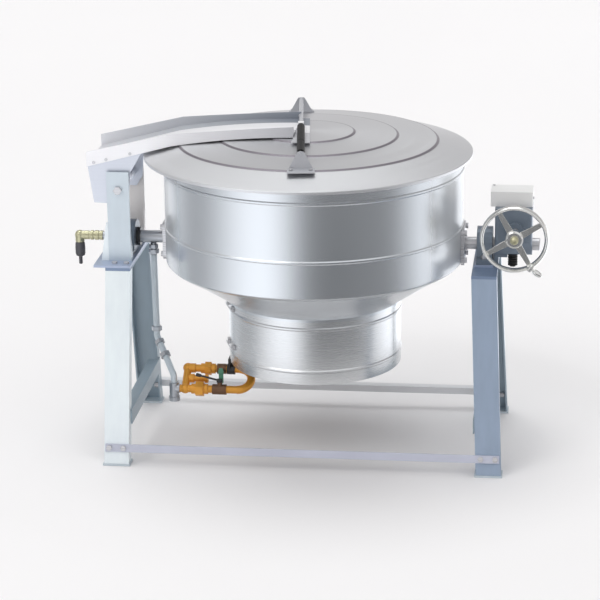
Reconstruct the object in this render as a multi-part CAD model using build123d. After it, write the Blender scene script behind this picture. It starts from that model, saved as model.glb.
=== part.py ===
from build123d import *
import os
from math import atan2, cos, degrees, pi, radians, sin, sqrt

# Steam jacketed tilting kettle, gas fired.  Millimetres, +Z up, floor at z = 0.
# The kettle hangs in two trunnions along X; the front, where it pours, is -Y.

# ---------------------------------------------------------------- driving dimensions
kettle_x = 15.75           # kettle axis, from the middle of the overall width
trunnion_z = 678.5         # height of the tilting axis
rim_z = 967.0              # height of the pan's rim
fit = 0.05                 # radial clearance of a shaft in its bush
seat = 0.2                 # clearance between pieces that seat on each other
gap = 0.3                  # clearance between neighbouring curved skins

# kettle shells
pan_r = 450.0
pan_wall = 3.0
pan_dish = 98.0
jacket_r = pan_r + 16.0
jacket_wall = 4.0
jacket_dish = pan_dish + 12.0
jacket_top_z = rim_z - 32.0
casing_r = jacket_r + 14.0
casing_wall = 2.0
bead_high = 2.5
bead_wide = 12.0
upper_bead_drop = 42.0
lower_bead_drop = 227.0
bead_heights = (rim_z - upper_bead_drop, rim_z - lower_bead_drop)
shell_depth = 345.0
shoulder_z = rim_z - shell_depth
shoulder_round = 9.0
shoulder_control = (casing_r - 57.0, shoulder_z - 28.5)   # bulge of the shoulder between its two ends
dish_z = shoulder_z + 25.0
rim_lip_r = casing_r + 10.0
rim_roll_r = 5.0

# burner skirt
skirt_inset = 200.0
skirt_r = casing_r - skirt_inset
skirt_wall = 2.0
skirt_top_z = shoulder_z - 127.0
skirt_high = 216.0
skirt_bottom_z = skirt_top_z - skirt_high
skirt_bead_heights = (skirt_top_z - 33.0, skirt_bottom_z + 42.0)
panel_half_angle = 70.0
panel_gap_angle = 0.35

# side frames
leg_w = 80.0
leg_depth = 42.0
leg_wall = 5.0
foot_y = 320.0
leg_top_y = 190.0
left_leg_x = -casing_r - 132.0
right_leg_x = casing_r + 76.0
right_leg_splay = 26.0
top_plate_z = trunnion_z - 63.5
top_plate_t = 10.0
foot_plate_t = 6.0
stretcher_z = 172.0
stretcher_h = 48.0
stretcher_wall = 5.0
bar_h = 25.0
bar_t = 6.0
front_bar_z = 57.0
rear_bar_z = 62.0
rear_bolt_drop = 3.0       # the rear bolts sit this far below the bar's middle, clear of its shelf
frame_bolt_r = 5.0
frame_bolt_x = leg_w / 2 - 17.0
frame_bolt_head = 16.5

# lid posts on the left frame
post_plate_left = left_leg_x - 78.0
post_plate_right = left_leg_x + 41.0
post_plate_t = 8.0
post_w = 72.0
post_x = left_leg_x - 1.5
post_face_y = 134.0
post_wall = 6.0
pivot_z = rim_z - 100.0
pivot_r = 8.0
pivot_tube_r = 14.0
post_top_z = pivot_z + 59.0
post_flange_top = 8.0
post_flange_foot = 36.0
post_taper_z = pivot_z - 129.0

# bearings
shaft_r = 20.0
bush_r = shaft_r + 10.0
bearing_len = 50.0
pillow_half = 92.0
pillow_foot = 16.0
pillow_r = bush_r + 26.0
pillow_neck = 4.0
bearing_lip = 3.0
collar_r = bush_r
collar_len = 12.0
left_bearing_x = left_leg_x + 6.0
right_bearing_x = right_leg_x - 5.0
saddle_t = 7.0
saddle_half = 61.0
saddle_bolt = 45.0
saddle_face = casing_r + saddle_t

# lid
lid_r = casing_r + 46.0
lid_x = -16.5
lid_wall = 2.0
lid_turn = 6.5             # the lid and its bail sit turned this much on the arm, in degrees
lid_edge_z = rim_z + 10.0
joggle_high = 4.0
lid_rings = ((lid_r - 109.0, lid_edge_z + 33.0, lid_edge_z + 33.0 + joggle_high),
             (lid_r - 237.0, lid_edge_z + 48.0, lid_edge_z + 48.0 + joggle_high),
             (lid_r - 375.0, lid_edge_z + 58.0, lid_edge_z + 58.0 + joggle_high))
lid_centre_z = lid_edge_z + 63.5
seat_ring_r = lid_r - 52.0
bail_shift = -22.0         # the bail bar passes this far beside the lid's centre
bail_near_inset = 122.0
bail_far_inset = 179.0
bail_near = lid_r - bail_near_inset
bail_far = lid_r - bail_far_inset
bail_z = lid_centre_z + 22.0
bail_r = 7.0
bar_end_r = 5.0
grip_r = 12.0
grip_near = bail_near - 14.0
grip_far = 35.0
cheek_half = 38.0
cheek_top = 8.0            # cheeks stand this far above the bar's axis
cheek_t = 3.0
foot_half = 42.0
near_foot = 40.0
far_foot = 26.0
foot_screw_x = 30.0
foot_screw_y = 17.0

# arm of the lid
arm_wall_y = 124.0
arm_end_y = 110.0          # the walls close in to this at the right end
arm_wall = 4.0
arm_left = post_x - 100.5
arm_right = lid_x - 33.5
arm_bend_x = post_x + 173.5
# lower and upper edge of its walls at the left end, the bend and the right end
arm_low = (lid_edge_z - 37.0, lid_edge_z + 34.0, lid_edge_z + 65.0)
arm_high = (lid_edge_z + 11.0, lid_edge_z + 73.5, lid_edge_z + 99.0)
arm_low_slope = 0.0        # slopes of both edges at the right end, in degrees
arm_high_slope = 3.0
web_lift = 8.0
web_t = 3.0
hanger_t = 4.0
tongue_t = 3.0
tongue_half = 28.0
tongue_near = 178.0
tongue_far = 150.0
tongue_root = 85.0         # half-width of the tongue where it is welded under the web
clip_y = -15.0
clip_w = 24.0
web_sag = 1.5              # how far the web drops over the tongue's root

# tilting gear
wheel_x = right_bearing_x + 98.0
gear_module = 3.5
wheel_teeth = 30
worm_pitch_r = 13.5
wheel_hub_r = shaft_r + 6.0
gear_clear = 0.4
gearbox_left = right_bearing_x + 33.0
gearbox_right = wheel_x + 53.0
guard_left = gearbox_left - 15.0
gearbox_y = 76.0
gearbox_bottom = trunnion_z - 18.5
gearbox_waist_y = 56.0     # half-width of the housing's bottom
gearbox_waist_z = trunnion_z + 26.5
gearbox_foot_y = 52.0
gearbox_top = trunnion_z + 134.5
gearbox_wall = 7.0
guard_y = 45.0
guard_h = 48.0
guard_wall = 1.5
boot_x = wheel_x - 9.0
boot_ribs = 5
boot_pitch = 8.0
boot_r = 15.5
boot_neck_r = 9.5
handwheel_r = 108.0
handwheel_y = -178.0
rim_half_w = 7.0
rim_half_d = 15.0
spoke_count = 4
spoke_start = 30.0
hub_r = 28.0
worm_shaft_r = 10.0
crank_angle = -60.0        # where the crank's hinge sits around the wheel, in degrees
crank_lie = -35.0          # direction of the folded-out handle in the wheel's plane
crank_eye_r = 7.0
crank_eye_half = 4.0

# rotary union on the left trunnion
nipple_r = 12.0
nipple_x = left_bearing_x - 56.0
union_right = -left_bearing_x + 88.0
union_len = 60.0
elbow_x = -union_right - union_len - 18.0
spigot_r = 6.0

# gas train
pipe_r = 10.5
train_pipe_r = 12.5
supply_x = -casing_r - 48.0
supply_bend = 12.0
header_x = -skirt_r - 162.0
lower_run = (-100.0, skirt_bottom_z - 88.0)        # y and z of the lower pipe run
upper_run = (-30.0, skirt_bottom_z - 41.0)         # y and z of the upper pipe run
drip_z = lower_run[1] - 41.0
supply_knee = (supply_x + 2.0, 0.0, skirt_bottom_z + 59.0)
supply_foot = (supply_x + 48.0, -62.0, skirt_bottom_z - 11.0)
return_x = -skirt_r + 32.0
riser_x = -skirt_r + 34.0
bracket_x = -skirt_r
cock_x = -skirt_r - 25.0
pilot_x = -skirt_r - 26.0
low_union_x = cock_x - 66.0
high_union_x = pilot_x - 46.0
cock_body_r = 17.0
cock_back = 24.0
cock_ahead = 22.0
pilot_back = 16.0
pilot_ahead = 14.0
cock_stem = 26.0           # from a run's axis out to the seat of its lever
main_lever_len = 80.0
main_lever_rise = 14.0     # degrees above level
latch_h = 16.0
latch_heights = (skirt_top_z - 17.5, skirt_bead_heights[1] + 25.0)
hem_h = 8.0                # lap of the casing's lower edge over the skirt
supply_top = (supply_x, 0.0, trunnion_z - shaft_r - gap)
header_low = (header_x - 14.0, lower_run[0], lower_run[1])
tee_branch = 19.0
pipe_top_z = trunnion_z - shaft_r - 41.5

# burner
burner_feed_z = skirt_bottom_z + 107.0
burner_ring_z = burner_feed_z + 34.0
burner_ring_r = skirt_r - 150.0
burner_tube_r = 15.0

# ---------------------------------------------------------------- derived sizes
post_base_z = top_plate_z + top_plate_t + post_plate_t
lean = atan2(foot_y - leg_top_y, top_plate_z - foot_plate_t)   # slope of the legs, from upright
worm_z = trunnion_z + gear_module * wheel_teeth / 2 + worm_pitch_r
hanger_y = arm_wall_y - arm_wall


def xk(x):
    """World X of a place measured from the kettle axis."""
    return x + kettle_x


# ---------------------------------------------------------------- helpers
def box(x0, x1, y0, y1, z0, z1):
    """Box between two corners, with X measured from the kettle axis."""
    return Pos(xk((x0 + x1) / 2), (y0 + y1) / 2, (z0 + z1) / 2) * Box(x1 - x0, y1 - y0, z1 - z0)


def lathe(points, x=0.0, y=0.0):
    """Turn a closed outline of (radius, z) points about a vertical axis."""
    outline = make_face(Plane.XZ * Polyline(*points, close=True))
    return Pos(xk(x), y, 0) * revolve(outline, Axis.Z, 360)


def lathe_x(points, y=0.0, z=0.0):
    """Turn a closed outline of (x, radius) points about an axis along X."""
    outline = make_face(Plane.XY * Polyline(*[(xk(px), pr) for px, pr in points], close=True))
    return Pos(0, y, z) * revolve(outline, Axis.X, 360)


def lathe_y(points, x, z):
    """Turn a closed outline of (y, radius) points about an axis along Y."""
    outline = make_face(Plane.XY * Polyline(*[(pr, py) for py, pr in points], close=True))
    return Pos(xk(x), 0, z) * revolve(outline, Axis.Y, 360)


def rod_x(x0, x1, r, y=0.0, z=trunnion_z):
    return Pos(xk((x0 + x1) / 2), y, z) * Rot(0, 90, 0) * Cylinder(r, abs(x1 - x0))


def rod_y(y0, y1, r, x, z):
    return Pos(xk(x), (y0 + y1) / 2, z) * Rot(90, 0, 0) * Cylinder(r, abs(y1 - y0))


def rod_z(z0, z1, r, x, y):
    return Pos(xk(x), y, (z0 + z1) / 2) * Cylinder(r, abs(z1 - z0))


def ball(x, y, z, r, seam):
    """Sphere with its seam turned to this direction, in degrees about Z, where nothing joins it."""
    return Pos(xk(x), y, z) * Rot(0, 0, seam) * Sphere(r)


def hexagon(across, height):
    """Hexagonal prism on its base, along Z."""
    return extrude(RegularPolygon(across / 2, 6, major_radius=False), height)


def side_plate(points, y0, y1, holes=()):
    """Plate whose outline is (x, z) points, between two Y planes, with (x, z, r) holes."""
    outline = make_face(Plane.XZ * Polyline(*[(xk(px), pz) for px, pz in points], close=True))
    plate = Pos(0, y0, 0) * extrude(outline, y1 - y0, dir=(0, 1, 0))
    for hx, hz, hr in holes:
        plate -= rod_y(y0 - 1, y1 + 1, hr, hx, hz)
    return plate


def cross_plate(points, x0, x1):
    """Plate whose outline is (y, z) points, between two X planes."""
    outline = make_face(Plane.YZ * Polyline(*points, close=True))
    return Pos(xk(x0), 0, 0) * extrude(outline, x1 - x0, dir=(1, 0, 0))


def mirrored(shape):
    """The same piece on the other side of the kettle's middle plane."""
    return mirror(shape, about=Plane.XZ)


def pieces(*shapes):
    """Separate solids that share one node."""
    solids = []
    for shape in shapes:
        solids.extend(shape.solids())
    return Compound(children=solids)


def beaded(radius, heights, top, bottom):
    """Outline points down a wall of this radius, with swaged beads standing out."""
    points = [(radius, top)]
    for z in sorted(heights, reverse=True):
        points += [(radius, z + bead_wide / 2), (radius + bead_high, z + bead_wide / 5),
                   (radius + bead_high, z - bead_wide / 5), (radius, z - bead_wide / 2)]
    points.append((radius, bottom))
    return points


def dish(radius, z, depth, steps=14):
    """Points down a semi-elliptic dished end, from its edge to its centre."""
    return [(radius * cos(pi / 2 * i / steps), z - depth * sin(pi / 2 * i / steps))
            for i in range(steps + 1)]


# ---------------------------------------------------------------- kettle
def make_inner_pan():
    """Pan with a dished bottom and a rolled rim that rests on the casing."""
    bottom = dish_z
    outer = [(pan_r + pan_wall, rim_z - pan_wall)] + dish(pan_r + pan_wall, bottom, pan_dish + pan_wall)
    inner = dish(pan_r, bottom, pan_dish)[::-1] + [(pan_r, rim_z)]
    flange = [(rim_lip_r - rim_roll_r, rim_z), (rim_lip_r - rim_roll_r, rim_z - pan_wall)]
    pan = lathe(outer + inner + flange)
    roll = lathe([(rim_lip_r - rim_roll_r + rim_roll_r * cos(2 * pi * i / 12),
                   rim_z - rim_roll_r + rim_roll_r * sin(2 * pi * i / 12)) for i in range(12)])
    return pan + roll


def make_steam_jacket():
    """Pressure jacket around the pan, closed to its wall at the top."""
    outer = [(jacket_r, jacket_top_z)] + dish(jacket_r, dish_z, jacket_dish)
    inner = dish(jacket_r - jacket_wall, dish_z, jacket_dish - jacket_wall)[::-1]
    ring = [(jacket_r - jacket_wall, jacket_top_z - jacket_wall),
            (pan_r + pan_wall + seat, jacket_top_z - jacket_wall),
            (pan_r + pan_wall + seat, jacket_top_z)]
    return lathe(outer + inner + ring)


def shoulder_points(inset):
    """Bulged shoulder from the casing's rounded lower edge in to the skirt, this far inside its skin."""
    start = (casing_r, shoulder_z)
    end = (skirt_r + 2, skirt_top_z)
    points = [(casing_r - inset, shoulder_z + shoulder_round)]
    steps = 10
    for i in range(steps + 1):
        t = i / steps
        r = (1 - t) ** 2 * start[0] + 2 * t * (1 - t) * shoulder_control[0] + t * t * end[0]
        z = (1 - t) ** 2 * start[1] + 2 * t * (1 - t) * shoulder_control[1] + t * t * end[1]
        dr = 2 * (1 - t) * (shoulder_control[0] - start[0]) + 2 * t * (end[0] - shoulder_control[0])
        dz = 2 * (1 - t) * (shoulder_control[1] - start[1]) + 2 * t * (end[1] - shoulder_control[1])
        length = sqrt(dr * dr + dz * dz)
        if i == 0:
            points.append((r - inset - shoulder_round * 0.08, z + shoulder_round * 0.45))
            points.append((r - inset * 0.9 - shoulder_round * 0.45, z + inset * 0.4))
        else:
            points.append((r + inset * dz / length, z - inset * dr / length))
    return points


def make_outer_casing():
    """Clad casing: beaded cylinder, rounded edge and bulged shoulder down to the skirt."""
    top = rim_z - pan_wall
    outer = beaded(casing_r, bead_heights, top, shoulder_z + shoulder_round)
    outer = outer[:-1] + shoulder_points(0)
    hem = [(skirt_r + gap + casing_wall, skirt_top_z - hem_h), (skirt_r + gap, skirt_top_z - hem_h),
           (skirt_r + gap, skirt_top_z + gap)]
    inner = hem + shoulder_points(casing_wall)[::-1] + [(casing_r - casing_wall, top)]
    return lathe(outer + inner)


def skirt_sector(start, end, top=skirt_top_z, bottom=skirt_bottom_z):
    """Part of the beaded skirt wall, between two angles from the front in degrees."""
    outer = beaded(skirt_r, skirt_bead_heights, top, bottom)
    inner = [(skirt_r - skirt_wall, bottom), (skirt_r - skirt_wall, top)]
    outline = make_face(Plane.XZ * Polyline(*(outer + inner), close=True))
    wall = revolve(outline, Axis.Z, end - start)
    return Pos(kettle_x, 0, 0) * Rot(0, 0, start - 90) * wall


def make_burner_skirt():
    """Rear shell of the burner skirt: strips behind the panel's edges, a port at the left to light it."""
    shell = skirt_sector(panel_half_angle, 360 - panel_half_angle)
    strip = make_face(Plane.XZ * Polyline((skirt_r - 3 * skirt_wall, skirt_bottom_z),
                                          (skirt_r - skirt_wall - seat, skirt_bottom_z),
                                          (skirt_r - skirt_wall - seat, skirt_top_z - seat),
                                          (skirt_r - 3 * skirt_wall, skirt_top_z - seat), close=True))
    web = make_face(Plane.XZ * Polyline((skirt_r - 3 * skirt_wall, skirt_bottom_z),
                                        (skirt_r - skirt_wall / 2, skirt_bottom_z),
                                        (skirt_r - skirt_wall / 2, skirt_top_z - seat),
                                        (skirt_r - 3 * skirt_wall, skirt_top_z - seat), close=True))
    strip_angle = 4.0
    for start in (panel_half_angle - strip_angle, 360 - panel_half_angle - strip_angle):
        shell += Pos(kettle_x, 0, 0) * Rot(0, 0, start - 90) * revolve(strip, Axis.Z, 2 * strip_angle)
    for start in (panel_half_angle, 360 - panel_half_angle - strip_angle):
        shell += Pos(kettle_x, 0, 0) * Rot(0, 0, start - 90) * revolve(web, Axis.Z, strip_angle)
    lighting_port = rod_x(-skirt_r - 20, -skirt_r + 30, train_pipe_r + 6, upper_run[0], burner_feed_z)
    return shell - lighting_port


def make_front_panel():
    edge = panel_half_angle - panel_gap_angle
    return skirt_sector(-edge, edge)



def make_latches():
    """Wire draw latches across the skirt's left seam."""
    latches = []
    for z in latch_heights:
        keeper_angle = radians(270 - panel_half_angle + 7)
        lever_angle = radians(270 - panel_half_angle - 9)
        for angle, width in ((keeper_angle, 16.0), (lever_angle, 26.0)):
            r = skirt_r + 4
            body = Pos(kettle_x + r * cos(angle), r * sin(angle), z) * Rot(0, 0, degrees(angle))
            latches.append(body * Box(7, width, latch_h))
        r = skirt_r + 10
        arc = revolve(make_face(Plane.XZ * Pos(r, z) * Circle(1.6)), Axis.Z,
                      degrees(keeper_angle - lever_angle))
        latches.append(Pos(kettle_x, 0, 0) * Rot(0, 0, degrees(lever_angle)) * arc)
    joined = []
    for i in range(0, len(latches), 3):
        joined.append(latches[i] + latches[i + 1] + latches[i + 2])
    return pieces(*joined)


def make_burner_ring():
    """Cast ring burner on four feet from the skirt, with its cross feed."""
    z = burner_ring_z
    sides = 12
    ring = lathe([(burner_ring_r + burner_tube_r * cos(2 * pi * (i + 0.5) / sides),
                   z + burner_tube_r * sin(2 * pi * (i + 0.5) / sides)) for i in range(sides)])
    arm_out = skirt_r - 3 * skirt_wall - seat - 1
    for angle in (45, 135, 225, 315):
        direction = Rot(0, 0, angle)
        arm = Pos((burner_ring_r + arm_out) / 2, 0, -burner_tube_r - 2) * Box(arm_out - burner_ring_r, 20, 6)
        lug = Pos(burner_ring_r, 0, -burner_tube_r / 2 - 2) * Box(18, 20, burner_tube_r + 4)
        ring += Pos(kettle_x, 0, z) * direction * (arm + lug)
    ports = []
    for i in range(24):
        angle = 2 * pi * (i + 0.5) / 24
        ports.append(rod_z(z + burner_tube_r / 3, z + burner_tube_r + 2, 2.5,
                           burner_ring_r * cos(angle), burner_ring_r * sin(angle)))
    for port in ports:
        ring -= port
    return ring


def make_saddle(side):
    """Trunnion pad, cut to the casing's curve, with a flat outer face."""
    face_x = saddle_face
    depth = saddle_t + 25
    pad = Box(depth, 2 * saddle_half, 2 * saddle_half)
    pad = fillet(pad.edges().filter_by(Axis.X), 14)
    pad = Pos(kettle_x + side * (face_x - depth / 2), 0, trunnion_z) * pad
    pad -= rod_z(trunnion_z - 2 * saddle_half, trunnion_z + 2 * saddle_half, casing_r + gap / 2, 0, 0)
    for z in bead_heights:
        pad -= rod_z(z - bead_wide / 2 - 1, z + bead_wide / 2 + 1, casing_r + bead_high + gap / 2, 0, 0)
    return pad - rod_x(side * (casing_r - 30), side * (face_x + 1), shaft_r + fit)


def make_left_trunnion():
    """Hollow trunnion: collar at the kettle, journal, and a nipple for the union."""
    start = -casing_r - gap
    end = -union_right - 24
    shaft = lathe_x([(start, 0), (start, shaft_r), (-saddle_face, shaft_r), (-saddle_face, shaft_r + 4),
                     (-saddle_face - 7, shaft_r + 4), (-saddle_face - 7, shaft_r),
                     (nipple_x, shaft_r), (nipple_x, nipple_r), (end, nipple_r), (end, 0)], z=trunnion_z)
    bore = rod_x(-union_right - 30, supply_x + 23, nipple_r - 4)
    branch = rod_z(trunnion_z - shaft_r - 1, trunnion_z, pipe_r - 2, supply_x, 0)
    return shaft - bore - branch


def make_right_trunnion():
    """Trunnion through the bearing and the gearbox, keyed to the worm wheel."""
    start = casing_r + gap
    return lathe_x([(start, 0), (start, shaft_r), (saddle_face, shaft_r), (saddle_face, shaft_r + 4),
                    (saddle_face + 7, shaft_r + 4), (saddle_face + 7, shaft_r), (gearbox_right + 22, shaft_r),
                    (gearbox_right + 25, shaft_r - 3), (gearbox_right + 25, 0)], z=trunnion_z)


def make_trunnion_bolts():
    """Cap screws that hold both saddles to the casing."""
    bolts = []
    for side in (-1, 1):
        for y in (-saddle_bolt, saddle_bolt):
            for z in (-saddle_bolt, saddle_bolt):
                x0 = side * (saddle_face + 0.02)
                bolts.append(rod_x(x0, x0 + side * 8, 9, y, trunnion_z + z))
    return pieces(*bolts)


def make_worm_wheel():
    """Toothed sector: it only needs teeth where the tilt brings them to the worm."""
    outer = worm_z - trunnion_z - worm_pitch_r - gear_module - gear_clear
    root = outer - 2.0 * gear_module
    hub_half = 24.0
    disc = rod_x(wheel_x - 11, wheel_x + 11, outer)
    keep = box(wheel_x - 12, wheel_x + 12, -12, outer + 1, trunnion_z - 8, trunnion_z + outer + 1)
    sector = disc & keep
    for i in range(wheel_teeth):
        angle = 360 / wheel_teeth * (i + 0.5)
        slot = Pos(xk(wheel_x), 0, trunnion_z) * Rot(angle, 0, 0) * Pos(0, 0, (outer + root) / 2 + 1)
        sector -= slot * Box(26, gear_module * pi / 2, outer - root + 2)
    hub = rod_x(wheel_x - hub_half, wheel_x + hub_half, wheel_hub_r)
    return sector + hub - rod_x(wheel_x - 30, wheel_x + 30, shaft_r + fit)


# ---------------------------------------------------------------- gas train, carried by the kettle


def pipe_path(points, radius, bend):
    path = FilletPolyline(*[(xk(px), py, pz) for px, py, pz in points], radius=bend)
    start = path @ 0
    profile = Plane(origin=start, z_dir=path % 0) * Circle(radius)
    return sweep(profile, path=path)


def nut_on(a, b, at, across, length):
    """Hexagon fitting centred on the line from a to b, at this distance from a."""
    start = Vector(xk(a[0]), a[1], a[2])
    along = (Vector(xk(b[0]), b[1], b[2]) - start).normalized()
    plane = Plane(origin=start + along * (at - length / 2), z_dir=along)
    return extrude(plane * RegularPolygon(across / 2, 6, major_radius=False), length)


def make_supply_pipe():
    """Steel pipe from the hollow trunnion down to the gas train."""
    tee_top = lower_run[1] + train_pipe_r + 8
    return pipe_path([(supply_x, 0, pipe_top_z), supply_knee, supply_foot,
                      (header_low[0], header_low[1], tee_top + 24.5),
                      (header_low[0], header_low[1], tee_top)], pipe_r, supply_bend)


def make_supply_fittings():
    """Hexagon nipple at the trunnion, the sleeves along the pipe, and the tee with its drip cap."""
    top = rod_z(pipe_top_z + 1, supply_top[2], pipe_r - 1, supply_x, 0)
    top += Pos(xk(supply_x), 0, pipe_top_z + 5) * hexagon(30, 14)
    top += Pos(xk(supply_x), 0, pipe_top_z + 23) * hexagon(26, 12)
    knee = supply_knee
    foot = supply_foot
    fittings = [top]
    a = (supply_x, 0.0, pipe_top_z)
    fittings.append(nut_on(a, knee, pipe_top_z - knee[2] - 26, 30, 14) - pipe_hole(a, knee))
    fittings.append(nut_on(knee, foot, 26, 30, 12) - pipe_hole(knee, foot))
    fittings.append(nut_on(knee, foot, 76, 32, 14) - pipe_hole(knee, foot))
    low = header_low
    tee = rod_z(drip_z + 14, low[2] + train_pipe_r + 8 - seat, train_pipe_r + 3, low[0], low[1])
    tee += rod_x(low[0], low[0] + tee_branch, train_pipe_r + 3, low[1], low[2])
    fittings.append(tee + rod_z(drip_z, drip_z + 14, train_pipe_r + 6, low[0], low[1]))
    return pieces(*fittings)


def pipe_hole(a, b):
    start = Vector(xk(a[0]), a[1], a[2])
    along = (Vector(xk(b[0]), b[1], b[2]) - start).normalized()
    plane = Plane(origin=start - along * 30, z_dir=along)
    return extrude(plane * Circle(pipe_r + fit), (Vector(xk(b[0]), b[1], b[2]) - start).length + 60)


def make_gas_header():
    """Left manifold from the tee, with the stub between the runs."""
    low = header_low
    high = (header_x + 22, upper_run[0], upper_run[1])
    elbow_x = low[0] + tee_branch + train_pipe_r + 5
    run = rod_x(low[0] + tee_branch + seat, header_x + 40, train_pipe_r, low[1], low[2])
    elbow = ball(elbow_x, low[1], low[2], train_pipe_r + 4, -90)
    start = Vector(xk(elbow_x), low[1], low[2])
    end = Vector(xk(high[0]), high[1], high[2])
    plane = Plane(origin=start, z_dir=end - start)
    riser = extrude(plane * Circle(train_pipe_r), (end - start).length)
    top = ball(high[0], high[1], high[2], train_pipe_r + 4, 90)
    top += rod_x(high[0], high[0] + 26, train_pipe_r + 3, high[1], high[2])
    mid = (start + end) * 0.5
    stub_x = mid.X - kettle_x
    stub = rod_x(stub_x, stub_x + 62, train_pipe_r - 2, mid.Y, mid.Z)
    stub += rod_x(stub_x + 10, stub_x + 26, train_pipe_r + 2, mid.Y, mid.Z)
    plug = rod_x(stub_x + 62, stub_x + 72, train_pipe_r + 2, mid.Y, mid.Z)
    return run + elbow + riser + top + stub + plug


def run_piece(x0, x1, radius, run):
    return rod_x(x0, x1, radius, run[0], run[1])


def make_gas_runs():
    """Upper and lower pipe runs with the return bend between them."""
    lower = run_piece(header_x + 40 + seat, cock_x - cock_back, train_pipe_r, lower_run)
    upper = run_piece(header_x + 48 + seat, pilot_x - pilot_back, train_pipe_r, upper_run)
    return lower, upper


def make_return_bend():
    """Wide bend that brings the lower run back up to the upper one, with the burner riser."""
    low = Vector(xk(return_x), lower_run[0], lower_run[1])
    high = Vector(xk(return_x), upper_run[0], upper_run[1])
    mid = (low + high) * 0.5
    across = (high - low)
    axis = Axis(origin=mid, direction=Vector(1, 0, 0).cross(across))
    ring_profile = Plane(origin=high, x_dir=across, z_dir=Vector(1, 0, 0)) * Circle(train_pipe_r + 1)
    bend = revolve(ring_profile, axis, -180)
    if bend.center().X < xk(return_x):
        bend = revolve(ring_profile, axis, 180)
    legs = rod_x(cock_x + cock_ahead, return_x, train_pipe_r, lower_run[0], lower_run[1])
    legs += rod_x(pilot_x + pilot_ahead, return_x, train_pipe_r, upper_run[0], upper_run[1])
    riser = rod_z(upper_run[1], burner_feed_z, train_pipe_r, riser_x, upper_run[0])
    feed = rod_x(riser_x, -burner_ring_r, train_pipe_r - 3, upper_run[0], burner_feed_z)
    lift_x = -burner_ring_r * 0.96
    lift = rod_z(burner_feed_z, burner_ring_z - burner_tube_r, train_pipe_r - 3, lift_x, upper_run[0])
    knee = ball(riser_x, upper_run[0], burner_feed_z, train_pipe_r + 2, 90)
    return bend + legs + riser + knee + feed + lift


def make_gas_unions():
    """Pipe unions and sockets that slide over the two runs."""
    unions = []
    for x, across, length, run in ((low_union_x, 44, 26, lower_run), (high_union_x, 40, 20, upper_run)):
        body = Pos(xk(x - length / 2), run[0], run[1]) * Rot(0, 90, 0) * hexagon(across, length)
        body += run_piece(x - length / 2 - 14, x + length / 2 + 14, train_pipe_r + 4, run)
        unions.append(body - run_piece(x - 60, x + 60, train_pipe_r + fit, run))
    return unions


def make_main_cock():
    """Taper-plug cock of the lower run, its plug's square standing up."""
    body = run_piece(cock_x - cock_back, cock_x + cock_ahead, cock_body_r, lower_run)
    return body + rod_z(lower_run[1], lower_run[1] + cock_stem, 8, cock_x, lower_run[0])


def make_pilot_cock():
    """Small cock of the upper run, its plug standing out to the front."""
    body = run_piece(pilot_x - pilot_back, pilot_x + pilot_ahead, cock_body_r, upper_run)
    return body + rod_y(upper_run[0] - cock_stem, upper_run[0], 8, pilot_x, upper_run[1])


def make_main_lever():
    """Round lever on the main cock, rising to its knob at the left."""
    z = lower_run[1] + cock_stem + seat
    hub = rod_z(z, z + 8, 10, cock_x, lower_run[0])
    knob = main_lever_len - 18
    outline = make_face(Plane.XZ * Polyline((0, 0), (0, 3.2), (knob, 3.2), (knob + 2, 5.5),
                                            (main_lever_len - 2, 5.5), (main_lever_len, 3.5),
                                            (main_lever_len, 0), close=True))
    rod = Rot(0, main_lever_rise, 0) * Rot(0, 0, 180) * revolve(outline, Axis.X, 360)
    rod = Pos(xk(cock_x), lower_run[0], z + 4) * rod
    return hub + rod


def make_pilot_lever():
    """Flat wing on the small cock's stem, hanging down."""
    y = upper_run[0] - cock_stem
    wing = box(pilot_x - 7.5, pilot_x + 7.5, y - 6, y - 1, upper_run[1] - 40, upper_run[1] + 12)
    wing = fillet(wing.edges().filter_by(Axis.Y), 5)
    return wing + rod_y(y - 7, y - seat, 9, pilot_x, upper_run[1])


def make_train_bracket():
    """Black angle that hangs the gas train from the skirt's lower edge."""
    x = bracket_x
    y = upper_run[0]
    top = skirt_bottom_z - seat
    outline = [(y - 22, top), (y + 22, top), (y + 17, upper_run[1]), (y - 17, upper_run[1])]
    plate = cross_plate(outline, x - 3, x + 3)
    foot = box(x - 3, x + 18, y - 22, y + 22, top - 5, top)
    rib_outline = [(x - 9, upper_run[1]), (x + 17, upper_run[1]), (x + 4, top), (x - 3, top)]
    rib = side_plate(rib_outline, y - 3, y + 3)
    collar = rod_x(x - 9, x + 17, train_pipe_r + 5, y, upper_run[1])
    return plate + foot + rib + collar - rod_x(x - 20, x + 20, train_pipe_r + fit, y, upper_run[1])


# ---------------------------------------------------------------- side frames
def leg(x_top, x_foot, side):
    """Channel leg, leaning out to its foot; side is -1 for the front leg, +1 for the rear one."""
    def section(x, face_y):
        half = leg_w / 2
        inner = face_y - side * leg_depth
        skin = face_y - side * leg_wall
        return [(xk(x - half), face_y), (xk(x + half), face_y), (xk(x + half), inner),
                (xk(x + half - leg_wall), inner), (xk(x + half - leg_wall), skin),
                (xk(x - half + leg_wall), skin), (xk(x - half + leg_wall), inner), (xk(x - half), inner)]
    low = make_face(Plane.XY.offset(foot_plate_t) * Polyline(*section(x_foot, side * foot_y), close=True))
    high = make_face(Plane.XY.offset(top_plate_z) * Polyline(*section(x_top, side * leg_top_y), close=True))
    return loft([low, high])


def foot_plate(x, side):
    outer = side * (foot_y + 4)
    inner = side * (foot_y - leg_depth - 8)
    return box(x - leg_w / 2 - 4, x + leg_w / 2 + 4, min(outer, inner), max(outer, inner), 0, foot_plate_t)


def make_foot_plates():
    plates = []
    for x in (left_leg_x, right_leg_x + right_leg_splay):
        for side in (-1, 1):
            plates.append(foot_plate(x, side))
    return pieces(*plates)


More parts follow.
